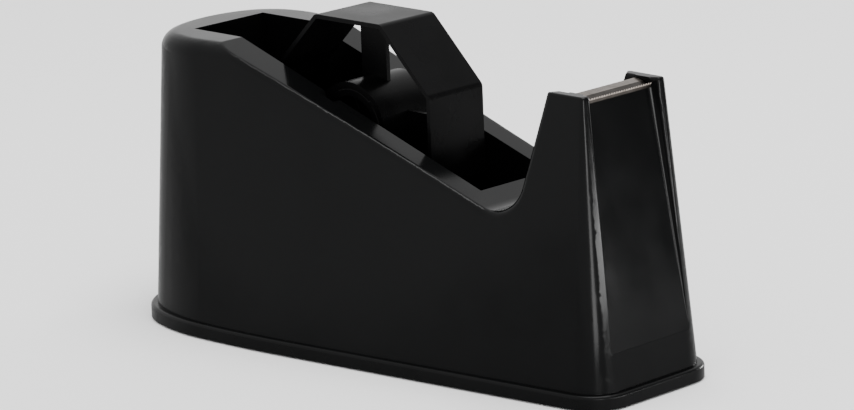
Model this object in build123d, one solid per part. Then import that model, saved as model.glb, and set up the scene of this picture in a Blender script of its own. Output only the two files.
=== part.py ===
"""Weighted desk tape dispenser: hollow moulded shell, base cover, ballast, cutter and a two-size spool.

Millimetres.  +X points to the cutter, +Y to the far side, +Z up.  The origin is on the
desk, under the middle of the base outline.
"""
from build123d import *
import os
from math import atan, atan2, cos, pi, radians, sin, tan

# ---------------------------------------------------------------- driving dimensions
# Heights above the desk
pad_proud = 0.5            # how far the non-slip pad stands below the base cover
lip_height = 4.4           # height of the base cover's outer lip
crown_height = 93.2        # flat top at the rear
cheek_rise = 0.5           # tops of the two cheeks above the flat top
axle_height = 68.9
well_depth = 57.0          # well floor below the axle's centre line

# Shell outline where it stands on the base cover, from the middle of the rear end to the nose:
# cap, corner and haunch are arcs that curve outwards one after the other
foot_rear_x = -99.5
foot_cap_radius = 55.1
foot_corner_radius = 25.0
foot_haunch_radius = 62.8
foot_flank_radius = 348.0
foot_straight = 50.0
foot_nose_x = 99.5
foot_nose_half_width = 25.8
foot_nose_radius = 10.4

# The same outline at cheek height, before its edges are rounded
crown_rear_x = -97.4
crown_cap_radius = 41.0
crown_corner_radius = 22.0
crown_haunch_radius = 34.0
crown_straight = 65.0
crown_flank_radius = 500.0
crown_nose_x = 90.5
crown_nose_half_width = 18.3
crown_nose_radius = 1.4

# Side profile
kink_x = -59.6             # end of the flat top
incline_slope = 0.337      # fall of the long incline per millimetre
saddle_radius = 12.0
cheek_depth = 15.2         # front to rear of a cheek's top
tower_back_lean = 15.7     # degrees from upright
crown_round = 5.5          # edge round of the flat top
incline_round = 2.2        # edge round of the incline

# Mouldings
wall = 2.5
well_wall = 2.0
well_rear_x = -81.9
well_front_x = 43.4
well_half_width = 15.2
well_front_chamfer = 0.8

# Recesses between the cheeks
cheek_thickness = 3.9
recess_depth = 3.6         # front panel behind the cheeks' noses, at cheek height
recess_flare = 0.42        # half width that the recess gains per millimetre forwards
panel_fade_height = 9.0    # above the shell's foot, where the panel runs out into the nose
panel_flare = 0.046        # half width that the panel gains per millimetre downwards
panel_round = 0.8          # inside round along both sides of the panel
nose_round = 1.2           # round of the inner edge of a cheek's nose
cutter_land = 5.6          # front to rear of the web's top, which carries the cutter
back_web_lean = 25.6       # degrees from upright
back_web_drop = 33.4       # foot of the web's rear face below the cheeks' tops
cheek_draft = 0.4          # how much narrower the panel is than the gap behind it
cheek_tail = 2.8           # how far the rear ends of the cheeks slant forwards to the inside
cheek_round = 0.9
cheek_core_drop = 13.9     # the cavity's roof in the tower below the cheeks' tops

# Base cover
lip_reach = 2.2
lip_round = 1.1
cover_floor = 2.0
pad_thickness = 1.6
pad_margin = 5.0
locator_height = 3.0
locator_thickness = 1.6
fit_gap = 0.2
locator_gap = 0.5          # room beside the locating rim, for the draft of the shell's wall

# Fasteners
post_radius = 3.6
pilot_radius = 1.3
screw_shank_radius = 1.22
screw_head_radius = 2.9
screw_head_height = 1.5
screw_length = 14.0
rear_post_inset = 8.5      # from the rear end of the shell's foot
front_post_inset = 15.0
post_half_spread = 14.8

# Ballast castings
ballast_gap = 0.8
nose_ballast_gap = 4.6     # from the well's front to the nose ballast
nose_ballast_height = 40.4
side_ballast_height = 28.4
side_ballast_inset = 4.7   # from both ends of the well

# Axle and its slots
axle_x = -14.7
axle_radius = 2.6
axle_end_gap = 0.2
axle_end_chamfer = 0.4
slot_gap = 0.08
slot_depth = 2.8
slot_lean = 23.0           # degrees the slots lean back from upright
slot_block_width = 11.0
slot_block_wall = 1.8

# Small-core hub
hub_radius = 12.6
hub_bore_gap = 0.06
hub_tube_wall = 2.3
hub_half_length = 11.8
hub_boss_radius = 5.2
hub_web_thickness = 2.0
hub_rib_thickness = 1.2
hub_rib_count = 6
key_height = 0.8
key_width = 2.0
key_count = 3

# Large-core adaptor
adaptor_corner_radius = 37.7
adaptor_sides = 8
band_thickness = 1.4
band_bend_radius = 2.6
sleeve_radius = 14.8
sleeve_gap = 0.1
spoke_width = 11.0
spoke_thickness = 1.5
spoke_flare = 3.0
spoke_count = 4

# Cutter blade: each bend as (forward of the recess's top edge, below the cheeks' tops)
blade_thickness = 0.4
blade_side_gap = 0.3
blade_tail = (-5.7, 3.0)
blade_plate_rear = (-4.9, 0.7)
blade_fold = (-2.0, 1.3)
blade_valley = (0.8, 2.7)
blade_tip = (1.6, 1.4)
blade_tooth_pitch = 1.09
blade_tooth_height = 0.8
blade_grind = 0.6          # thickness left at the tips, as a share of the strip's

# ---------------------------------------------------------------- derived sizes
STRAIGHT = 0
post_places = [(x, side * post_half_spread) for side in (1, -1)
               for x in (foot_rear_x + rear_post_inset, foot_nose_x - front_post_inset)]
foot_z = pad_proud + lip_height
pad_roof_z = pad_thickness  # top of the pad and of the recess it lies in
floor_z = pad_roof_z + cover_floor
well_floor_z = axle_height - well_depth
cheek_height = crown_height + cheek_rise
far = 2 * (foot_nose_x - foot_rear_x)
hair = wall / 50           # slack for telling edges apart
lean = tan(radians(tower_back_lean))
tower_back_x = crown_nose_x - cheek_depth
seat_half_width = crown_nose_half_width - cheek_thickness
panel_top_x = crown_nose_x - recess_depth
panel_half_width = seat_half_width - cheek_draft
panel_fade_z = foot_z + panel_fade_height
nose_slope = (foot_nose_x - crown_nose_x) / (cheek_height - foot_z)
panel_slope = nose_slope + recess_depth / (cheek_height - panel_fade_z)
back_web_top_x = panel_top_x - cutter_land
back_web_slope = tan(radians(back_web_lean))

# (radius, direction faced at the end) for an arc, (STRAIGHT, length) for a line
foot_flank = [(foot_cap_radius, 155.0), (foot_corner_radius, 110.0), (foot_haunch_radius, 90.0),
              (foot_flank_radius, 83.8), (STRAIGHT, foot_straight)]
crown_flank = [(crown_cap_radius, 160.0), (crown_corner_radius, 105.0), (crown_haunch_radius, 83.8),
               (STRAIGHT, crown_straight), (crown_flank_radius, 88.5)]


def blade_point(bend):
    """A bend of the cutter in the model's own coordinates."""
    forward, below = bend
    return panel_top_x + forward, cheek_height - below


blade_line = [blade_point(bend) for bend in (blade_tail, blade_plate_rear, blade_fold, blade_valley)]


# ---------------------------------------------------------------- outlines and lofts
def arc_points(centre, radius, start, stop, chord):
    """Start, middle and end of an arc between two directions, or only its ends for a chord."""
    stops = (start, stop) if chord else (start, (start + stop) / 2, stop)
    return [(centre[0] + radius * cos(radians(a)), centre[1] + radius * sin(radians(a))) for a in stops]


def flank_edges(rear_x, flank, inset, chord):
    """Edges of one flank, from the rear end's middle, with the end point and direction they reach."""
    x, y, facing = rear_x + inset, 0.0, 180.0
    edges = []
    for radius, value in flank:
        if radius == STRAIGHT:
            heading = radians(facing - 90)
            points = [(x, y), (x + value * cos(heading), y + value * sin(heading))]
        else:
            bulge = 1 if value < facing else -1
            reach = bulge * radius - inset
            centre = (x - reach * cos(radians(facing)), y - reach * sin(radians(facing)))
            points = arc_points(centre, reach, facing, value, chord)
            facing = value
        edges.append(ThreePointArc(*points) if len(points) == 3 else Line(*points))
        x, y = points[-1]
    return edges, (x, y), facing


def outline(rear_x, flank, nose_x, nose_half_width, nose_radius, z, inset, chord):
    """Closed outline face at height z, symmetric about y = 0, drawn inset by a distance."""
    edges, flank_end, facing = flank_edges(rear_x, flank, inset, chord)
    radius = max(nose_radius - inset, wall / 5)
    centre = (nose_x - inset - radius, nose_half_width - inset - radius)
    half_way = facing / 2
    for start, stop in ((facing, half_way), (half_way, 0)):
        points = arc_points(centre, radius, start, stop, chord)
        if start == facing:
            edges.append(Line(flank_end, points[0]))
        edges.append(Line(*points) if chord else ThreePointArc(*points))
    corner = points[-1]
    front = Line(corner, (corner[0], -corner[1]))
    mirrored = [edge.mirror(Plane.XZ) for edge in reversed(edges)]
    return Pos(0, 0, z) * make_face(Wire(edges + [front] + mirrored))


def foot_face(z, inset=0.0, chord=False):
    """The shell's outline where it stands on the base cover."""
    return outline(foot_rear_x, foot_flank, foot_nose_x, foot_nose_half_width,
                   foot_nose_radius, z, inset, chord)


def crown_face(z, inset=0.0, chord=False):
    """The shell's outline at cheek height."""
    return outline(crown_rear_x, crown_flank, crown_nose_x, crown_nose_half_width,
                   crown_nose_radius, z, inset, chord)


def tapered_body(inset=0.0, chord=False):
    """The drafted outer form from the foot to cheek height, optionally inset, with flat sides."""
    return loft([foot_face(foot_z, inset, chord), crown_face(cheek_height, inset, chord)], ruled=True)


def side_prism(points, half_width=far):
    """Prism along Y, symmetric about y = 0, from a closed XZ outline."""
    return extrude(Plane.XZ * make_face(Polyline(*points, close=True)), half_width, both=True)


def sky_cutter(offset=0.0):
    """Everything above the side profile, with the profile lowered by offset."""
    incline_drop = offset / cos(atan(incline_slope))
    back_shift = offset / cos(radians(tower_back_lean))
    flat_z = crown_height - offset
    kink = kink_x - (incline_drop - offset) / incline_slope
    # where the lowered incline meets the shifted rear line of the tower
    level = crown_height + incline_slope * kink_x - incline_drop
    reach = tower_back_x + back_shift + lean * (level - cheek_height)
    corner_x = reach / (1 + lean * incline_slope)
    corner_z = level - incline_slope * corner_x
    roof = cheek_height + far
    points = [(-far, flat_z), (kink, flat_z), (corner_x, corner_z),
              (tower_back_x + back_shift + lean * far, roof), (-far, roof)]
    face = make_face(Polyline(*points, close=True))
    corner = face.vertices().sort_by_distance((corner_x, corner_z))[0]
    return extrude(Plane.XZ * fillet(corner, saddle_radius + offset), far, both=True)


# ---------------------------------------------------------------- shell
def rounded_edges(body, flat):
    """Edges of the flat top, or of the incline, saddle and tower back, on both sides."""
    found = []
    for edge in body.edges():
        box = edge.bounding_box()
        across = edge.geom_type == GeomType.LINE and abs((edge @ 0.5).Y) < wall
        on_top = box.min.Z > crown_height - hair and box.max.X < kink_x + wall
        on_slope = box.min.Z > well_floor_z + 2 * wall and box.max.Z > box.min.Z + hair
        if across or box.max.X > tower_back_x + hair:
            continue
        if (flat and on_top) or (not flat and on_slope and not on_top):
            found.append(edge)
    return found


def outer_form():
    """Outer body with its rounded top edges, still without well and recesses."""
    body = tapered_body() - sky_cutter()
    body = fillet(rounded_edges(body, flat=True), crown_round)
    return fillet(rounded_edges(body, flat=False), incline_round)


def recess_section(z):
    """Plan of the front recess at height z: panel, inside rounds, flared cheeks, rounded noses."""
    share = (z - panel_fade_z) / (cheek_height - panel_fade_z)
    nose_x = crown_nose_x + nose_slope * (cheek_height - z)
    depth, inside, outside = recess_depth * share, panel_round * share, nose_round * share
    x = nose_x - depth
    y = panel_half_width + panel_flare * (cheek_height - z)
    side_y = y + recess_flare * (depth - outside)
    bend = 1 - cos(pi / 4)
    edges = [ThreePointArc((x, y - inside), (x + bend * inside, y - bend * inside),
                           (x + inside, y + recess_flare * inside)),
             Line((x + inside, y + recess_flare * inside), (nose_x - outside, side_y)),
             ThreePointArc((nose_x - outside, side_y), (nose_x - bend * outside, side_y + bend * outside),
                           (nose_x, side_y + outside)),
             Line((nose_x, side_y + outside), (nose_x + cheek_depth, side_y + cheek_depth))]
    ends = [Line((x, y - inside), (x, inside - y)),
            Line((nose_x + cheek_depth, side_y + cheek_depth), (nose_x + cheek_depth, -side_y - cheek_depth))]
    mirrored = [edge.mirror(Plane.XZ) for edge in edges]
    return Pos(0, 0, z) * make_face(Wire(edges + ends + mirrored))


def front_recess():
    """The space before the front panel, down to where the panel runs out into the nose."""
    return loft([recess_section(panel_fade_z + wall), recess_section(cheek_height + wall)], ruled=True)


def back_recess():
    """The space behind the web, between the cheeks' slanted rear ends."""
    top, bottom = cheek_height + wall, cheek_height - back_web_drop
    sections = []
    for z in (bottom, top):
        web_x = back_web_top_x - back_web_slope * (cheek_height - z)
        end_x = tower_back_x - lean * (cheek_height - z)
        inner, outer = seat_half_width, crown_nose_half_width - hair
        rear_x = end_x - 2 * cheek_tail
        wide = inner + (outer - inner) * (cheek_tail + end_x - rear_x) / cheek_tail
        near = [(web_x, inner), (end_x + cheek_tail, inner), (rear_x, wide)]
        if web_x <= end_x + cheek_tail:
            near = [(web_x, inner), (web_x - hair, inner), (rear_x, wide)]
        ring = near + [(x, -y) for x, y in reversed(near)]
        sections.append(Pos(0, 0, z) * make_face(Polyline(*ring, close=True)))
    return loft(sections, ruled=True)


def strip_underside(line, thickness):
    """Points under a bent sheet whose upper side follows line, with mitred bends."""
    lower = []
    headings = [atan2(z1 - z0, x1 - x0) for (x0, z0), (x1, z1) in zip(line, line[1:])]
    for (x, z), first, second in zip(line, headings[:1] + headings, headings + headings[-1:]):
        middle = (first + second) / 2
        reach = thickness / cos((second - first) / 2)
        lower.append((x + reach * sin(middle), z - reach * cos(middle)))
    return lower


def cutter_seat():
    """Everything over the underside of the blade, which the web between the cheeks carries."""
    under = strip_underside(blade_line, blade_thickness)
    roof = cheek_height + wall
    rear_x, front_x = under[0][0] - 2 * wall, under[-1][0] + 2 * wall
    points = [(rear_x, under[0][1])] + under
    points += [(front_x, under[-1][1]), (front_x, roof), (rear_x, roof)]
    return side_prism(points, seat_half_width)


def well_block(grow=0.0):
    """The well's space, or its walls' outside when grown."""
    length = well_front_x - well_rear_x + 2 * grow
    bottom = well_floor_z - grow
    middle_x = (well_front_x + well_rear_x) / 2
    return Pos(middle_x, 0, bottom) * Box(length, 2 * (well_half_width + grow), far,
                                          align=(Align.CENTER, Align.CENTER, Align.MIN))


def slot_body(radius, half_length, top=far):
    """Round-bottomed slot about the axle's line, open along the leaning slot direction."""
    tube = Cylinder(radius, 2 * half_length, rotation=(90, 0, 0))
    run = Pos(0, 0, top / 2) * Box(2 * radius, 2 * half_length, top)
    return Pos(axle_x, 0, axle_height) * Rot(0, -slot_lean, 0) * (tube + run)


def slot_blocks():
    """Bearing blocks that back the axle slots on the outside of the well's side walls."""
    half_width = slot_block_width / 2
    return slot_body(half_width, well_half_width + slot_depth + slot_block_wall)


def screw_posts(radius, bottom, top):
    """One upright cylinder at each fastening place."""
    posts = [Pos(x, y, bottom) * Cylinder(radius, top - bottom,
                                          align=(Align.CENTER, Align.CENTER, Align.MIN))
             for x, y in post_places]
    return fuse_all(posts)


def fuse_all(shapes):
    """One shape from several."""
    total = shapes[0]
    for shape in shapes[1:]:
        total = total + shape
    return total


def hollow():
    """The cavity under the shell: the outer form drawn in by the wall, kept off the well."""
    inner = tapered_body(wall, chord=True) - sky_cutter(wall)
    inner -= Pos(-wall, 0, 0) * front_recess()
    roof_z = cheek_height - cheek_core_drop
    inner -= side_prism([(well_front_x, roof_z), (far, roof_z), (far, far), (well_front_x, far)])
    inner -= Pos(wall, 0, 0) * back_recess()
    inner -= well_block(well_wall)
    inner -= slot_blocks()
    inner -= screw_posts(post_radius, foot_z - wall, far)
    return inner


def cheek_edges(body):
    """Edges round the tops of the cheeks."""
    return [edge for edge in body.edges() if edge.bounding_box().min.Z > cheek_height - hair]


def well_front_edge(body):
    """The front edge of the well's mouth, running across the saddle."""
    across = body.edges().filter_by(GeomType.LINE).filter_by(Axis.Y)
    high = [edge for edge in across if edge.bounding_box().min.Z > axle_height / 2]
    return min(high, key=lambda edge: abs((edge @ 0.5).X - well_front_x))


def make_shell():
    """One-piece moulded shell: well, cheeks, web, axle slots and screw posts."""
    body = outer_form() - well_block()
    body -= front_recess()
    body -= back_recess()
    body = fillet(cheek_edges(body), cheek_round)
    body -= cutter_seat()
    body = chamfer(well_front_edge(body), well_front_chamfer)
    body -= slot_body(axle_radius + slot_gap, well_half_width + slot_depth)
    body -= hollow()
    body -= screw_posts(pilot_radius, foot_z - wall, foot_z + screw_length)
    return body


# ---------------------------------------------------------------- base cover, pad, screws
def lip_face(z, inset=0.0):
    """The base cover's outline, outside the shell's foot by the lip's reach."""
    return foot_face(z, inset - lip_reach)


def make_base_cover():
    """Bottom cover: floor, raised lip, locating rim inside the shell, countersunk holes."""
    cover = extrude(lip_face(pad_proud), lip_height)
    top_edges = cover.faces().sort_by(Axis.Z)[-1].edges()
    cover = fillet(top_edges, lip_round)
    inside = wall + locator_gap
    tray = extrude(foot_face(floor_z, inside + locator_thickness, chord=True), far)
    cover += extrude(foot_face(foot_z, inside, chord=True), locator_height)
    cover -= tray
    cover -= extrude(lip_face(0, pad_margin), pad_roof_z)
    cover -= screw_posts(post_radius + fit_gap, foot_z, far)
    cover += screw_posts(screw_head_radius + locator_thickness, pad_roof_z, foot_z)
    cover -= screw_posts(screw_shank_radius + fit_gap, 0, far)
    cover -= screw_posts(screw_head_radius + fit_gap, 0, pad_roof_z + screw_head_height)
    return cover


def make_pad():
    """Foam pad let into the underside of the base cover."""
    return extrude(lip_face(0, pad_margin + fit_gap), pad_thickness)


def make_screw():
    """Pan-head self-tapping screw, head down, at the origin of its head's underside."""
    head = Cylinder(screw_head_radius, screw_head_height,
                    align=(Align.CENTER, Align.CENTER, Align.MIN))
    head = chamfer(head.edges().sort_by(Axis.Z)[0], screw_head_height / 3)
    shank = Pos(0, 0, screw_head_height) * Cylinder(
        screw_shank_radius, screw_length - screw_head_height,
        align=(Align.CENTER, Align.CENTER, Align.MIN))
    shank = chamfer(shank.edges().sort_by(Axis.Z)[-1], screw_shank_radius / 2)
    return head + shank


def make_screws():
    """All base screws as one group of separate solids."""
    screw = make_screw()
    return Compound(children=[Pos(x, y, pad_roof_z) * screw for x, y in post_places])


# ---------------------------------------------------------------- ballast
def ballast(rear_x, front_x, low_y, high_y, top):
    """Casting that fills the shell's cavity inside a box, clear of walls and posts."""
    block = tapered_body(wall + ballast_gap, chord=True) & Pos(
        (rear_x + front_x) / 2, (low_y + high_y) / 2, (floor_z + top) / 2) * Box(
            front_x - rear_x, high_y - low_y, top - floor_z)
    block -= Pos(-wall - ballast_gap, 0, 0) * front_recess()
    block -= screw_posts(post_radius + ballast_gap, 0, far)
    lowest = extrude(foot_face(floor_z, wall + locator_gap + locator_thickness + ballast_gap, chord=True),
                     foot_z + locator_height + ballast_gap - floor_z)
    roof = Pos(0, 0, foot_z + locator_height + ballast_gap) * Box(
        2 * far, 2 * far, far, align=(Align.CENTER, Align.CENTER, Align.MIN))
    return block & (lowest + roof)


def make_nose_ballast():
    """Casting under the saddle and the tower."""
    return ballast(well_front_x + nose_ballast_gap, foot_nose_x, -far, far, floor_z + nose_ballast_height)


def make_side_ballast(side):
    """Casting between the well and one side of the shell; side is +1 or -1."""
    near = well_half_width + well_wall + ballast_gap
    low_y, high_y = sorted((side * near, side * far))
    return ballast(well_rear_x + side_ballast_inset, well_front_x - side_ballast_inset,
                   low_y, high_y, floor_z + side_ballast_height)


# ---------------------------------------------------------------- spool
def along_axle(shape):
    """Turns a shape built about Z onto the axle's line."""
    return Pos(axle_x, 0, axle_height) * Rot(90, 0, 0) * shape


def tube(outer, inner, half_length):
    """Hollow cylinder about Z, centred on the origin."""
    return Cylinder(outer, 2 * half_length) - Cylinder(inner, 2 * half_length)


def make_axle():
    """Plain rod with chamfered ends, resting in the two slots."""
    half_length = well_half_width + slot_depth - axle_end_gap
    rod = Cylinder(axle_radius, 2 * half_length)
    return along_axle(chamfer(rod.edges().filter_by(GeomType.CIRCLE), axle_end_chamfer))


def make_hub():
    """Hub for small cores: tube, boss and ribbed web, with drive keys on the outside."""
    inner = hub_radius - hub_tube_wall
    bore = axle_radius + hub_bore_gap
    hub = tube(hub_radius, inner, hub_half_length)
    hub += tube(hub_boss_radius, bore, hub_half_length)
    hub += tube(inner + hub_tube_wall / 2, (bore + hub_boss_radius) / 2, hub_web_thickness / 2)
    rib_length = inner - hub_boss_radius + hub_tube_wall / 2
    rib_middle = (inner + hub_boss_radius) / 2
    rib = Pos(rib_middle, 0, 0) * Box(rib_length, hub_rib_thickness, hub_half_length)
    for place in range(hub_rib_count):
        hub += Rot(0, 0, place * 360 / hub_rib_count) * rib
    key = Pos(hub_radius, 0, 0) * Box(2 * key_height, key_width, 2 * hub_half_length)
    for place in range(key_count):
        hub += Rot(0, 0, 45 + place * 360 / key_count) * key
    return along_axle(hub)


def rounded_octagon(corner_radius, bend_radius, half_length):
    """Prism of the adaptor's polygon with rounded bends, flats level and upright."""
    shape = RegularPolygon(corner_radius, adaptor_sides, rotation=180 / adaptor_sides)
    shape = fillet(shape.vertices(), bend_radius)
    return extrude(shape, half_length, both=True)


def spoke(start, stop):
    """One flat spoke from radius start to radius stop, with a flared root at the band."""
    shape = Pos((start + stop) / 2, 0) * Rectangle(stop - start, spoke_width)
    inner = stop - band_thickness / 2
    shape += Pos(inner - spoke_flare / 2, 0) * Rectangle(spoke_flare, spoke_width + 2 * spoke_flare)
    for side in (-1, 1):
        shape -= Pos(inner - spoke_flare, side * (spoke_width / 2 + spoke_flare)) * Circle(spoke_flare)
    return extrude(shape, spoke_thickness / 2, both=True)


def make_adaptor():
    """Eight-sided band for large cores, joined by flat spokes to a sleeve on the hub."""
    band = rounded_octagon(adaptor_corner_radius, band_bend_radius, hub_half_length)
    flat_shrink = band_thickness / cos(pi / adaptor_sides)
    band -= rounded_octagon(adaptor_corner_radius - flat_shrink,
                            band_bend_radius - band_thickness, hub_half_length)
    bore = hub_radius + sleeve_gap
    adaptor = band + tube(sleeve_radius, bore, hub_half_length)
    flat_distance = adaptor_corner_radius * cos(pi / adaptor_sides)
    start = (sleeve_radius + bore) / 2
    stop = flat_distance - band_thickness / 2
    for place in range(spoke_count):
        adaptor += Rot(0, 0, place * 360 / spoke_count) * spoke(start, stop)
    groove = Pos(hub_radius, 0, 0) * Box(2 * (key_height + sleeve_gap), key_width + 2 * sleeve_gap,
                                         2 * hub_half_length)
    for place in range(key_count):
        adaptor -= Rot(0, 0, 45 + place * 360 / key_count) * groove
    return along_axle(adaptor)


# ---------------------------------------------------------------- cutter blade
def toothed_edge(half_width):
    """Upturned front of the strip, from the valley's underside to the tips."""
    valley_x, valley_z = blade_line[-1]
    tip_x, tip_z = blade_point(blade_tip)
    under_x, under_z = strip_underside(blade_line, blade_thickness)[-1]
    tip_width = blade_thickness * blade_grind
    section = [(valley_x, valley_z), (under_x, under_z), (under_x + blade_thickness, under_z),
               (tip_x, tip_z), (tip_x - tip_width, tip_z)]
    return side_prism(section, half_width)


def tooth_gaps(half_width):
    """Saw-tooth cutter that leaves one pointed tooth to each pitch."""
    count = int(2 * half_width / blade_tooth_pitch)
    tip_x, tip_z = blade_point(blade_tip)
    first = -blade_tooth_pitch * (count + 1) / 2
    profile = []
    for place in range(count + 1):
        y = first + place * blade_tooth_pitch
        profile += [(y, tip_z), (y + blade_tooth_pitch / 2, tip_z - blade_tooth_height)]
    last = first + (count + 1) * blade_tooth_pitch
    profile += [(last, tip_z), (last, tip_z + wall), (first, tip_z + wall)]
    plane = Plane(origin=(tip_x, 0, 0), x_dir=(0, 1, 0), z_dir=(1, 0, 0))
    return extrude(plane * make_face(Polyline(*profile, close=True)), 3 * blade_thickness, both=True)


def make_blade():
    """Bent steel strip: tail, landing plate, sloping facet and an upturned toothed edge."""
    half_width = seat_half_width - blade_side_gap
    under = strip_underside(blade_line, blade_thickness)
    strip = side_prism(blade_line + under[::-1], half_width)
    return strip + toothed_edge(half_width) - tooth_gaps(half_width)


if __name__ == "__main__":
    os.makedirs("parts", exist_ok=True)
    nodes = {
        "shell": make_shell,
        "base_cover": make_base_cover,
        "non_slip_pad": make_pad,
        "base_screws": make_screws,
        "nose_ballast": make_nose_ballast,
        "right_ballast": lambda: make_side_ballast(-1),
        "left_ballast": lambda: make_side_ballast(1),
        "axle": make_axle,
        "small_core_hub": make_hub,
        "large_core_adaptor": make_adaptor,
        "cutter_blade": make_blade,
    }
    for name, make in nodes.items():
        piece = make()
        print(name, "valid" if piece.is_valid else "INVALID", round(piece.volume, 1), len(piece.solids()))
        export_step(piece, f"parts/{name}.step")
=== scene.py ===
"""Weighted desk tape dispenser, dressed for a studio photograph.

Every length is in metres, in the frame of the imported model: +X points to the cutter, +Y to the
far side and +Z up, with the origin on the desk under the middle of the base cover.

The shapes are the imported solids. The four large mouldings stand as welded, smooth-shaded copies of
theirs, and every piece gets a procedural finish on its object coordinates.
"""
from __future__ import annotations

import logging
import math
from dataclasses import dataclass
from enum import Enum

import bmesh
import bpy
import numpy as np
from mathutils import Matrix, Vector

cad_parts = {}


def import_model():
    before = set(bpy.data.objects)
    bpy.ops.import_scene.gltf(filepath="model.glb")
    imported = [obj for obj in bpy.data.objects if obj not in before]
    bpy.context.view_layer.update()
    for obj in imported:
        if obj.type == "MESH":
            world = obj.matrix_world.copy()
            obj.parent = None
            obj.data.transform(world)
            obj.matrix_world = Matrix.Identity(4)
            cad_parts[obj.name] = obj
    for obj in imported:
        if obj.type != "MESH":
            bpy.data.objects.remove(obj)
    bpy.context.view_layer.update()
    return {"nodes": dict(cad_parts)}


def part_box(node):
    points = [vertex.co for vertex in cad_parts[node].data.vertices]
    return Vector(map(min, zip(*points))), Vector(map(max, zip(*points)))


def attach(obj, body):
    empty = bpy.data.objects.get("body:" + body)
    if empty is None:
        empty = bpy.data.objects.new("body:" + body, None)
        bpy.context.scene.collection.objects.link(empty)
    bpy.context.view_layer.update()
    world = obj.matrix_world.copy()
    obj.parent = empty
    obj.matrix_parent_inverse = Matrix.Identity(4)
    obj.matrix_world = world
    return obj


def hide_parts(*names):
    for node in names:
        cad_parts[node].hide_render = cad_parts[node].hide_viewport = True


LOG = logging.getLogger("dispenser")

Triple = tuple[float, float, float]
Socket = bpy.types.NodeSocket

MM = 0.001
MICRON = 0.000001
AXLE_CENTRE = Vector((-14.7 * MM, 0.0, 68.9 * MM))


class Coat(Enum):
    """How much a moulding shines: the lowest and highest roughness over its surface."""

    POLISHED = (0.13, 0.19)
    SATIN = (0.24, 0.32)
    MATT = (0.42, 0.52)


@dataclass(frozen=True)
class Speckle:
    """A noise pattern.

    Attributes:
        scale: waves per metre.
        octaves: number of finer octaves.
        strength: strength of the finer octaves.
        span: the part of the noise's range that is stretched over a finish's own range.
    """

    scale: float
    octaves: float
    strength: float = 0.5
    span: tuple[float, float] = (0.3, 0.7)


def tint(colour: Triple, shares: Triple) -> tuple[float, float, float, float]:
    """Scales a colour channel by channel, and makes it opaque.

    Args:
        colour: red, green and blue.
        shares: what is kept of each channel.

    Returns:
        Red, green, blue and an alpha of 1.
    """
    red, green, blue = (channel * share for channel, share in zip(colour, shares))
    return red, green, blue, 1.0


def heading(azimuth: float, elevation: float) -> Vector:
    """Gives the unit vector from the object towards a place in the studio.

    It is (sin a cos e, -cos a cos e, sin e) for azimuth a and elevation e.

    Args:
        azimuth: degrees round from the -Y side, so that 90 is the +X side.
        elevation: degrees above the table.

    Returns:
        The direction.
    """
    turn, lift = math.radians(azimuth), math.radians(elevation)
    return Vector((math.sin(turn) * math.cos(lift), -math.cos(turn) * math.cos(lift), math.sin(lift)))


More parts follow.
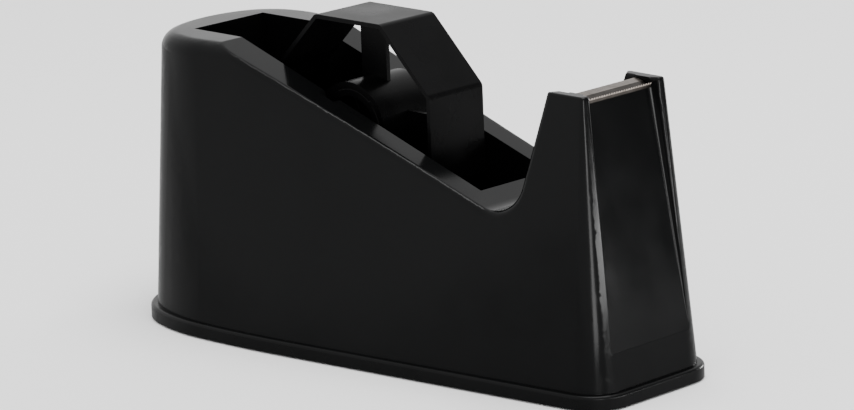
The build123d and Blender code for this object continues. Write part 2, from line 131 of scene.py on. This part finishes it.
# ---------------------------------------------------------------- node helper
class NodeSheet:
    """A new material with a Principled shader, and short ways to add what feeds it."""

    def __init__(self, name: str) -> None:
        """Makes the material with its shader, its output and the object's coordinates.

        Args:
            name: the material's name.
        """
        self.material = bpy.data.materials.new(name)
        self.material.use_nodes = True
        self.tree = self.material.node_tree
        self.tree.nodes.clear()
        self.shader = self.add("ShaderNodeBsdfPrincipled")
        out = self.add("ShaderNodeOutputMaterial")
        self.link(self.shader.outputs["BSDF"], out.inputs["Surface"])
        self.place = self.add("ShaderNodeTexCoord").outputs["Object"]

    def add(self, kind: str, **properties: str) -> bpy.types.Node:
        """Adds one node.

        Args:
            kind: Blender's name of the node type.
            **properties: settings of the node itself, such as its operation.

        Returns:
            The new node.
        """
        node = self.tree.nodes.new(kind)
        for name, value in properties.items():
            setattr(node, name, value)
        return node

    def link(self, source: Socket, target: Socket) -> None:
        """Links one socket to another."""
        self.tree.links.new(source, target)

    def ramp(self, source: Socket, low: float, high: float, start: float, stop: float) -> Socket:
        """Maps a value from low..high to start..stop, held at both ends.

        Args:
            source: the value to map.
            low: the value that gives start.
            high: the value that gives stop.
            start: the result at low.
            stop: the result at high.

        Returns:
            The mapped value's socket.
        """
        node = self.add("ShaderNodeMapRange")
        ends = {"From Min": low, "From Max": high, "To Min": start, "To Max": stop}
        for name, value in ends.items():
            node.inputs[name].default_value = value
        self.link(source, node.inputs["Value"])
        return node.outputs["Result"]

    def noise(self, speckle: Speckle, place: Socket | None = None) -> Socket:
        """Adds a noise pattern.

        Args:
            speckle: the pattern.
            place: the coordinates, in metres, or None for the object's.

        Returns:
            The pattern's value socket.
        """
        node = self.add("ShaderNodeTexNoise")
        node.inputs["Scale"].default_value = speckle.scale
        node.inputs["Detail"].default_value = speckle.octaves
        node.inputs["Roughness"].default_value = speckle.strength
        self.link(place or self.place, node.inputs["Vector"])
        return node.outputs["Fac"]

    def tones(self, factor: Socket, dark: tuple[float, ...], light: tuple[float, ...]) -> Socket:
        """Mixes two colours by a factor.

        Args:
            factor: 0 for dark, 1 for light.
            dark: the colour at 0, with alpha.
            light: the colour at 1, with alpha.

        Returns:
            The mixed colour's socket.
        """
        mix = self.add("ShaderNodeMix", data_type="RGBA")
        mix.inputs["A"].default_value = dark
        mix.inputs["B"].default_value = light
        self.link(factor, mix.inputs["Factor"])
        return mix.outputs["Result"]

    def combine(self, operation: str, first: Socket, second: Socket) -> Socket:
        """Joins two values by one of the Math node's operations.

        Args:
            operation: Blender's name of the operation.
            first: one value.
            second: the other value.

        Returns:
            The result's socket.
        """
        node = self.add("ShaderNodeMath", operation=operation)
        self.link(first, node.inputs[0])
        self.link(second, node.inputs[1])
        return node.outputs["Value"]

    def bump(self, height: Socket, depth: float, under: Socket | None = None) -> Socket:
        """Turns a pattern into relief.

        Args:
            height: the pattern, from 0 to 1.
            depth: how far 1 stands above 0, in metres.
            under: the normal of a broader relief that this one lies on, if any.

        Returns:
            The normal's socket.
        """
        node = self.add("ShaderNodeBump")
        node.inputs["Distance"].default_value = depth
        self.link(height, node.inputs["Height"])
        if under:
            self.link(under, node.inputs["Normal"])
        return node.outputs["Normal"]

    def feed(self, **sources: Socket) -> None:
        """Links sockets to the shader's inputs, which are named with _ for a space."""
        for name, source in sources.items():
            self.link(source, self.shader.inputs[name.replace("_", " ")])

    def fix(self, **values: float) -> None:
        """Sets the shader's inputs that are the same all over, named with _ for a space."""
        for name, value in values.items():
            self.shader.inputs[name.replace("_", " ")].default_value = value


# ---------------------------------------------------------------- finishes
@dataclass(frozen=True)
class Moulding:
    """Injection-moulded black plastic with cloudy gloss, faint flow waves and a fine grain.

    Attributes:
        name: the material's name.
        colour: mean colour.
        coat: how much it shines.
        ior: index of refraction, which sets how strongly it mirrors.
        clouds: patches of gloss and tone.
        grain: the fine grain.
        grain_depth: depth of the grain.
        flow: waves of the melt's flow.
        flow_depth: depth of these waves.
        dark: what is left of each channel in the darkest patches.
        light: what each channel grows to in the lightest ones.
    """

    name: str
    colour: Triple = (0.0022, 0.0023, 0.0024)
    coat: Coat = Coat.POLISHED
    ior: float = 1.2
    clouds: Speckle = Speckle(55.0, 3.0, span=(0.35, 0.65))
    grain: Speckle = Speckle(2600.0, 2.0)
    grain_depth: float = 4.0 * MICRON
    flow: Speckle = Speckle(26.0, 1.0, 0.3)
    flow_depth: float = 20.0 * MICRON
    dark: Triple = (0.8, 0.8, 0.8)
    light: Triple = (1.25, 1.25, 1.25)

    def build(self) -> bpy.types.Material:
        """Builds the material.

        Returns:
            The new material.
        """
        sheet = NodeSheet(self.name)
        cloud = sheet.noise(self.clouds)
        flow = sheet.bump(sheet.noise(self.flow), self.flow_depth)
        sheet.fix(IOR=self.ior)
        sheet.feed(
            Base_Color=sheet.tones(cloud, tint(self.colour, self.dark), tint(self.colour, self.light)),
            Roughness=sheet.ramp(cloud, *self.clouds.span, *self.coat.value),
            Normal=sheet.bump(sheet.noise(self.grain), self.grain_depth, under=flow),
        )
        return sheet.material


@dataclass(frozen=True)
class Step:
    """A change of brightness at an edge, seen along one axis.

    Attributes:
        inset: distance of the edge from the piece's highest corner, along the axis.
        blur: half of the width over which it changes.
        before: brightness on the lower side of the edge.
        after: brightness on the upper side.
    """

    inset: float
    blur: float
    before: float
    after: float

    def shade(self, sheet: NodeSheet, along: Socket, highest: float) -> Socket:
        """Adds the step to a material.

        Args:
            sheet: the material's nodes.
            along: the coordinate that crosses the edge.
            highest: that coordinate at the piece's highest corner.

        Returns:
            The brightness's socket.
        """
        edge = highest - self.inset
        return sheet.ramp(along, edge - self.blur, edge + self.blur, self.before, self.after)


@dataclass(frozen=True)
class PaintedFacetLight:
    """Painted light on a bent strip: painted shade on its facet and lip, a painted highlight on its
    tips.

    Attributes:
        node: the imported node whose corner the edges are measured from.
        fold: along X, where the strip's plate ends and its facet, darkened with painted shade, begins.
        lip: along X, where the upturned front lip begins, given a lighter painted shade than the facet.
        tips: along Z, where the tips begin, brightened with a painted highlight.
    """

    node: str
    fold: Step = Step(3.6 * MM, 0.1 * MM, 1.0, 0.22)
    lip: Step = Step(0.52 * MM, 0.06 * MM, 0.0, 0.6)
    tips: Step = Step(1.25 * MM, 0.12 * MM, 1.0, 6.0)

    def shade(self, sheet: NodeSheet) -> Socket:
        """Adds the nodes that tell how bright the metal is at each place.

        Args:
            sheet: the material's nodes.

        Returns:
            The socket of the factor that scales the colour.
        """
        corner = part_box(self.node)[1]
        split = sheet.add("ShaderNodeSeparateXYZ")
        sheet.link(sheet.place, split.inputs["Vector"])
        # Painted light: shade on the facet, a lighter shade on the lip, a highlight on the tips.
        fold = self.fold.shade(sheet, split.outputs["X"], corner.x)
        lip = self.lip.shade(sheet, split.outputs["X"], corner.x)
        tips = self.tips.shade(sheet, split.outputs["Z"], corner.z)
        return sheet.combine("MAXIMUM", fold, sheet.combine("MULTIPLY", lip, tips))


@dataclass(frozen=True)
class Steel:
    """Rolled steel with fine scratches along Y, stains, and, on a bent strip, painted shade and a
    painted highlight on its faces.

    Attributes:
        name: the material's name.
        colour: mean colour.
        painted_facet_light: the painted shade on the strip's facet and lip and the painted highlight on
            its tips, or None for evenly bright steel.
        roughness: lowest and highest roughness.
        scratches: the scratches, seen across them.
        stretch: how much slower the scratches change along Y.
        scratch_depth: depth of the scratches.
        stains: the stains.
        dark: what is left of each channel in the darkest stains.
        light: what each channel grows to between them.
    """

    name: str
    colour: Triple = (0.19, 0.168, 0.152)
    painted_facet_light: PaintedFacetLight | None = None
    roughness: tuple[float, float] = (0.22, 0.4)
    scratches: Speckle = Speckle(5200.0, 3.0, 0.6)
    stretch: float = 0.04
    scratch_depth: float = 4.0 * MICRON
    stains: Speckle = Speckle(320.0, 4.0, 0.6)
    dark: Triple = (0.72, 0.7, 0.68)
    light: Triple = (1.15, 1.15, 1.15)

    def build(self) -> bpy.types.Material:
        """Builds the material.

        Returns:
            The new material.
        """
        sheet = NodeSheet(self.name)
        turn = sheet.add("ShaderNodeMapping")
        turn.inputs["Scale"].default_value = (1.0, self.stretch, 1.0)
        sheet.link(sheet.place, turn.inputs["Vector"])
        lines = sheet.noise(self.scratches, turn.outputs["Vector"])
        stain = sheet.ramp(sheet.noise(self.stains), *self.stains.span, 0.0, 1.0)
        colour = sheet.tones(stain, tint(self.colour, self.dark), tint(self.colour, self.light))
        # Scales the colour by the strip's painted light: painted shade on the facet and lip, a painted
        # highlight on the tips.
        if self.painted_facet_light:
            painted_light_scale = sheet.add("ShaderNodeVectorMath", operation="SCALE")
            sheet.link(colour, painted_light_scale.inputs[0])
            sheet.link(self.painted_facet_light.shade(sheet), painted_light_scale.inputs["Scale"])
            colour = painted_light_scale.outputs["Vector"]
        sheet.fix(Metallic=1.0)
        sheet.feed(
            Base_Color=colour,
            Roughness=sheet.ramp(lines, *self.scratches.span, *self.roughness),
            Normal=sheet.bump(lines, self.scratch_depth),
        )
        return sheet.material


@dataclass(frozen=True)
class Rough:
    """Foam rubber or a bare casting: a matt surface with open cells or grains of sand, with painted
    shade in the sunken middle of each.

    Attributes:
        name: the material's name.
        colour: mean colour.
        cells: cells or grains per metre.
        depth: how deep they are.
        metal: 1 for metal, 0 for none.
        roughness: mean roughness.
        spread: how far the roughness strays from its mean.
        clouds: patches of roughness.
        wall: distance from a cell's middle to its lightest part, in cells.
        dark: what is left of each channel in a cell's middle, where painted shade darkens its pit.
        light: what each channel grows to at its wall.
    """

    name: str
    colour: Triple
    cells: float
    depth: float
    metal: float = 0.0
    roughness: float = 0.85
    spread: float = 0.08
    clouds: Speckle = Speckle(90.0, 4.0)
    wall: float = 0.6
    dark: Triple = (0.6, 0.6, 0.6)
    light: Triple = (1.2, 1.2, 1.2)

    def build(self) -> bpy.types.Material:
        """Builds the material.

        Returns:
            The new material.
        """
        sheet = NodeSheet(self.name)
        pores = sheet.add("ShaderNodeTexVoronoi", feature="F1")
        pores.inputs["Scale"].default_value = self.cells
        sheet.link(sheet.place, pores.inputs["Vector"])
        distance = pores.outputs["Distance"]
        # Darker in each cell's middle, where the bump sinks it: painted shade in the pits.
        cell = sheet.ramp(distance, 0.0, self.wall, 0.0, 1.0)
        sheet.fix(Metallic=self.metal)
        sheet.feed(
            Base_Color=sheet.tones(cell, tint(self.colour, self.dark), tint(self.colour, self.light)),
            Roughness=sheet.ramp(sheet.noise(self.clouds), *self.clouds.span,
                                 self.roughness - self.spread, self.roughness + self.spread),
            Normal=sheet.bump(distance, self.depth),
        )
        return sheet.material


@dataclass(frozen=True)
class WhiteCard:
    """Matt white card for the table, of a darker tone where a glossy surface mirrors it.

    The photograph's background was cut out, and its plastic still mirrors the darker room it stood in.

    Attributes:
        name: the material's name.
        dark: its darkest tone, seen directly.
        light: its lightest tone, seen directly.
        mirrored: its tone in a reflection.
        clouds: patches of tone.
        roughness: its roughness.
        gloss: its specular level.
    """

    name: str = "white_card"
    dark: float = 0.93
    light: float = 0.96
    mirrored: float = 0.4
    clouds: Speckle = Speckle(3.0, 2.0)
    roughness: float = 0.9
    gloss: float = 0.1

    def build(self) -> bpy.types.Material:
        """Builds the material.

        Returns:
            The new material.
        """
        sheet = NodeSheet(self.name)
        seen = sheet.tones(sheet.noise(self.clouds), self.grey(self.dark), self.grey(self.light))
        ray = sheet.add("ShaderNodeLightPath")
        card = sheet.add("ShaderNodeMix", data_type="RGBA")
        card.inputs["B"].default_value = self.grey(self.mirrored)
        sheet.link(ray.outputs["Is Glossy Ray"], card.inputs["Factor"])
        sheet.link(seen, card.inputs["A"])
        sheet.fix(Roughness=self.roughness, Specular_IOR_Level=self.gloss)
        sheet.feed(Base_Color=card.outputs["Result"])
        return sheet.material

    @staticmethod
    def grey(tone: float) -> tuple[float, float, float, float]:
        """Gives an opaque grey."""
        return tone, tone, tone, 1.0


# ---------------------------------------------------------------- mesh helpers
@dataclass(frozen=True)
class SmoothCopy:
    """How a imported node's loose triangles become one smooth-shaded skin.

    Attributes:
        crease: dihedral angle in degrees above which an edge stays sharp.
        edge_round: width of a small round on the sharp edges, or 0 for none.
        edge_segments: number of faces across that round.
        weld: distance under which two vertices are one.
        sliver: size under which a face is dissolved.
        large_face_lead: how strongly a large face outweighs a small one, 50 being evenly.
    """

    crease: float
    edge_round: float = 0.0
    edge_segments: int = 2
    weld: float = 2.0 * MICRON
    sliver: float = 1.0 * MICRON
    large_face_lead: int = 50

    def build(self, node: bpy.types.Object, name: str, body: str) -> bpy.types.Object:
        """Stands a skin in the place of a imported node.

        Args:
            node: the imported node's object, which stays as it is.
            name: the skin's name.
            body: the CAD body that the skin rides on.

        Returns:
            The skin.
        """
        skin = bpy.data.objects.new(name, self.welded(node.data, name))
        bpy.context.scene.collection.objects.link(skin)
        if self.edge_round:
            self.round_edges(skin)
        self.calm_normals(skin)
        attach(skin, body)
        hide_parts(node.name)
        return skin

    def welded(self, packed: bpy.types.Mesh, name: str) -> bpy.types.Mesh:
        """Copies a mesh, merges its doubles and shades it smooth up to the crease angle.

        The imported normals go, because they no longer fit the merged corners.

        Args:
            packed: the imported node's mesh.
            name: the copy's name.

        Returns:
            The copy.
        """
        mesh = packed.copy()
        mesh.name = name
        work = bmesh.new()
        work.from_mesh(mesh)
        bmesh.ops.remove_doubles(work, verts=work.verts, dist=self.weld)
        bmesh.ops.dissolve_degenerate(work, dist=self.sliver, edges=work.edges)
        work.to_mesh(mesh)
        work.free()
        mesh.materials.clear()
        stored = mesh.attributes.get("custom_normal")
        if stored:
            mesh.attributes.remove(stored)
        mesh.shade_smooth()
        mesh.set_sharp_from_angle(angle=math.radians(self.crease))
        return mesh

    def round_edges(self, skin: bpy.types.Object) -> None:
        """Puts a small round on the edges that are sharper than the crease angle.

        Args:
            skin: the skin.
        """
        bevel = skin.modifiers.new("edge", "BEVEL")
        bevel.limit_method = "ANGLE"
        bevel.angle_limit = math.radians(self.crease)
        bevel.width = self.edge_round
        bevel.segments = self.edge_segments
        bevel.use_clamp_overlap = True

    def calm_normals(self, skin: bpy.types.Object) -> None:
        """Leans each vertex normal to the largest face beside it, so the long walls stay calm.

        Args:
            skin: the skin.
        """
        calm = skin.modifiers.new("large_faces_lead", "WEIGHTED_NORMAL")
        calm.mode = "FACE_AREA"
        calm.weight = self.large_face_lead
        calm.keep_sharp = True


def dress(piece: bpy.types.Object, material: bpy.types.Material) -> None:
    """Gives a piece its one material.

    Args:
        piece: the piece.
        material: its finish.
    """
    piece.data.materials.clear()
    piece.data.materials.append(material)
    LOG.info("%s is dressed in %s", piece.name, material.name)


# ---------------------------------------------------------------- the dispenser
@dataclass(frozen=True)
class Housing:
    """The moulded shell, its base cover, the pad, the weights and the screws."""

    nodes: dict[str, bpy.types.Object]
    skin: SmoothCopy = SmoothCopy(crease=32.0)
    plastic: Moulding = Moulding("shell_plastic")
    cover: Moulding = Moulding("cover_plastic", coat=Coat.SATIN)
    pad: Rough = Rough("foam_pad", (0.02, 0.02, 0.021), cells=1400.0, depth=0.12 * MM)
    casting: Rough = Rough("iron_casting", (0.06, 0.058, 0.055), cells=900.0, depth=0.1 * MM,
                           metal=0.8, roughness=0.7)
    screw: Steel = Steel("screw_steel", (0.5, 0.5, 0.52))

    def build(self) -> None:
        """Dresses every piece of the housing."""
        shell = self.skin.build(self.nodes["shell"], "shell_skin", "base")
        dress(shell, self.plastic.build())
        cover = self.skin.build(self.nodes["base_cover"], "base_cover_skin", "base")
        dress(cover, self.cover.build())
        dress(self.nodes["non_slip_pad"], self.pad.build())
        iron = self.casting.build()
        for name in ("nose_ballast", "left_ballast", "right_ballast"):
            dress(self.nodes[name], iron)
        dress(self.nodes["base_screws"], self.screw.build())


@dataclass(frozen=True)
class Spool:
    """The eight-sided adaptor, the small hub and the axle."""

    nodes: dict[str, bpy.types.Object]
    skin: SmoothCopy = SmoothCopy(crease=30.0, edge_round=0.18 * MM)
    plastic: Moulding = Moulding("spool_plastic", (0.0014, 0.0014, 0.0015), Coat.SATIN, ior=1.17)
    rod: Moulding = Moulding("axle_plastic", (0.005, 0.005, 0.005), Coat.MATT)

    def build(self) -> None:
        """Dresses every piece of the spool."""
        plastic = self.plastic.build()
        for node, name in (("large_core_adaptor", "adaptor_skin"), ("small_core_hub", "hub_skin")):
            dress(self.skin.build(self.nodes[node], name, "spool"), plastic)
        dress(self.nodes["axle"], self.rod.build())


@dataclass(frozen=True)
class Cutter:
    """The toothed steel strip between the cheeks."""

    nodes: dict[str, bpy.types.Object]
    # Its facet and lip carry painted shade and its tips a painted highlight.
    steel: Steel = Steel("cutter_steel", painted_facet_light=PaintedFacetLight("cutter_blade"))

    def build(self) -> None:
        """Dresses the strip."""
        dress(self.nodes["cutter_blade"], self.steel.build())


# ---------------------------------------------------------------- studio
@dataclass(frozen=True)
class PhotoCamera:
    """The camera of the photograph, which looks from a known direction at a point near the axle.

    Attributes:
        azimuth: degrees round from the -Y side.
        elevation: degrees above the table.
        roll: degrees that the camera leans about its line of sight.
        distance: from the point that it looks at.
        beside: how far that point is from the axle's centre, to the picture's right.
        above: how far it is from there, up the picture.
        lens: focal length in millimetres.
        sensor: width of the sensor in millimetres.
        clip: nearest and farthest distance that it sees.
    """

    azimuth: float = 45.07
    elevation: float = 14.18
    roll: float = -2.21
    distance: float = 1401.576 * MM
    beside: float = 15.3085 * MM
    above: float = -26.3283 * MM
    lens: float = 187.93
    sensor: float = 36.0
    clip: tuple[float, float] = (0.05, 30.0)

    def build(self) -> None:
        """Places the camera and makes it the scene's."""
        turn, lean = math.radians(self.azimuth), math.radians(self.roll)
        back = heading(self.azimuth, self.elevation)
        level = Vector((math.cos(turn), math.sin(turn), 0.0))
        upright = back.cross(level)
        right = math.cos(lean) * level + math.sin(lean) * upright
        up = math.cos(lean) * upright - math.sin(lean) * level
        place = AXLE_CENTRE + self.beside * right + self.above * up + self.distance * back
        data = bpy.data.cameras.new("photo_camera")
        data.lens, data.sensor_width = self.lens, self.sensor
        data.clip_start, data.clip_end = self.clip
        camera = bpy.data.objects.new("photo_camera", data)
        camera.matrix_world = Matrix((
            (right.x, up.x, back.x, place.x),
            (right.y, up.y, back.y, place.y),
            (right.z, up.z, back.z, place.z),
            (0.0, 0.0, 0.0, 1.0),
        ))
        bpy.context.scene.collection.objects.link(camera)
        bpy.context.scene.camera = camera


@dataclass(frozen=True)
class SoftBox:
    """One rectangular area light.

    Attributes:
        name: the light's name.
        azimuth: degrees round from the -Y side.
        elevation: degrees above the table.
        reach: distance from the point that it faces.
        width: its width.
        height: its height.
        power: its power in watts.
    """

    name: str
    azimuth: float
    elevation: float
    reach: float
    width: float
    height: float
    power: float

    def build(self, target: Vector) -> None:
        """Places the light so that it faces the target.

        Args:
            target: the point that it faces.
        """
        away = heading(self.azimuth, self.elevation)
        data = bpy.data.lights.new(self.name, "AREA")
        data.shape = "RECTANGLE"
        data.size, data.size_y, data.energy = self.width, self.height, self.power
        lamp = bpy.data.objects.new(self.name, data)
        facing = away.to_track_quat("Z", "Y").to_matrix().to_4x4()
        lamp.matrix_world = Matrix.Translation(target + self.reach * away) @ facing
        bpy.context.scene.collection.objects.link(lamp)


@dataclass(frozen=True)
class Surroundings:
    """White light from all round, fading to grey on the side that the front panel faces.

    Seen directly, the surroundings are one even tone like the table's, so its rim doesn't show.

    Attributes:
        strength: brightness all round.
        grey: what is left of it in the middle of the grey side.
        grey_side: direction of the grey side.
        fade: shares of that direction between which white turns to grey.
        backdrop: the even tone that is seen, as a multiple of the strength.
    """

    strength: float = 1.25
    grey: float = 0.2
    grey_side: Triple = (0.725, 0.688, 0.0)
    fade: tuple[float, float] = (0.45, 0.85)
    backdrop: float = 1.55

    def build(self) -> None:
        """Builds the world's nodes and makes it the scene's."""
        world = bpy.data.worlds.new("surroundings")
        world.use_nodes = True
        nodes, link = world.node_tree.nodes, world.node_tree.links.new
        light = nodes["Background"]
        light.inputs["Strength"].default_value = self.strength
        facing = nodes.new("ShaderNodeVectorMath")
        facing.operation = "DOT_PRODUCT"
        facing.inputs[1].default_value = self.grey_side
        link(nodes.new("ShaderNodeTexCoord").outputs["Generated"], facing.inputs[0])
        fade = nodes.new("ShaderNodeMapRange")
        fade.interpolation_type = "SMOOTHSTEP"
        fade.inputs["From Min"].default_value, fade.inputs["From Max"].default_value = self.fade
        fade.inputs["To Min"].default_value, fade.inputs["To Max"].default_value = 1.0, self.grey
        link(facing.outputs["Value"], fade.inputs["Value"])
        seen = nodes.new("ShaderNodeMix")
        seen.inputs["B"].default_value = self.backdrop
        link(nodes.new("ShaderNodeLightPath").outputs["Is Camera Ray"], seen.inputs["Factor"])
        link(fade.outputs["Result"], seen.inputs["A"])
        link(seen.outputs["Result"], light.inputs["Color"])
        bpy.context.scene.world = world


@dataclass(frozen=True)
class Table:
    """A round white table top at the height of the pad's underside.

    Attributes:
        radius: its radius.
        centre: its centre, moved away from the camera and from the front panel.
        rim_points: number of points on its rim.
        finish: its material.
    """

    radius: float = 0.7
    centre: Triple = (-0.3, 0.3, 0.0)
    rim_points: int = 96
    finish: WhiteCard = WhiteCard()

    def build(self) -> None:
        """Builds the disc: its rim is the centre plus the radius times (cos t, sin t), t once round."""
        turns = np.linspace(0.0, 2.0 * math.pi, self.rim_points, endpoint=False)
        circle = np.stack((np.cos(turns), np.sin(turns), np.zeros_like(turns)), axis=1)
        rim = circle * self.radius + np.array(self.centre)
        mesh = bpy.data.meshes.new("table_top")
        mesh.from_pydata(rim.tolist(), [], [tuple(range(self.rim_points))])
        mesh.materials.append(self.finish.build())
        table = bpy.data.objects.new("table_top", mesh)
        bpy.context.scene.collection.objects.link(table)


@dataclass(frozen=True)
class Studio:
    """The table, the surroundings, the soft lights and the camera."""

    lights: tuple[SoftBox, ...] = (
        SoftBox("overhead", 135.0, 84.0, reach=1.5, width=1.0, height=1.0, power=25.0),
        SoftBox("front_screen", 57.0, -1.0, reach=1.5, width=0.5, height=0.55, power=12.0),
        SoftBox("right_screen", 172.0, -1.0, reach=1.5, width=0.6, height=0.55, power=26.0),
        SoftBox("low_card", 104.0, -4.6, reach=0.44, width=0.3, height=0.04, power=1.0),
    )
    lit_point: Triple = (0.0, 0.0, 50.0 * MM)
    table: Table = Table()
    surroundings: Surroundings = Surroundings()
    camera: PhotoCamera = PhotoCamera()

    def build(self) -> None:
        """Builds the whole studio."""
        self.table.build()
        self.surroundings.build()
        for light in self.lights:
            light.build(Vector(self.lit_point))
        self.camera.build()
        LOG.info("the studio has %d lights", len(self.lights))


def main() -> None:
    """Builds the dispenser and the studio."""
    logging.basicConfig(level=logging.INFO, format="%(name)s: %(message)s")
    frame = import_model()
    nodes = frame["nodes"]
    for part in (Housing(nodes), Spool(nodes), Cutter(nodes), Studio()):
        part.build()
        LOG.info("%s is done", type(part).__name__)


if __name__ == "__main__":
    main()
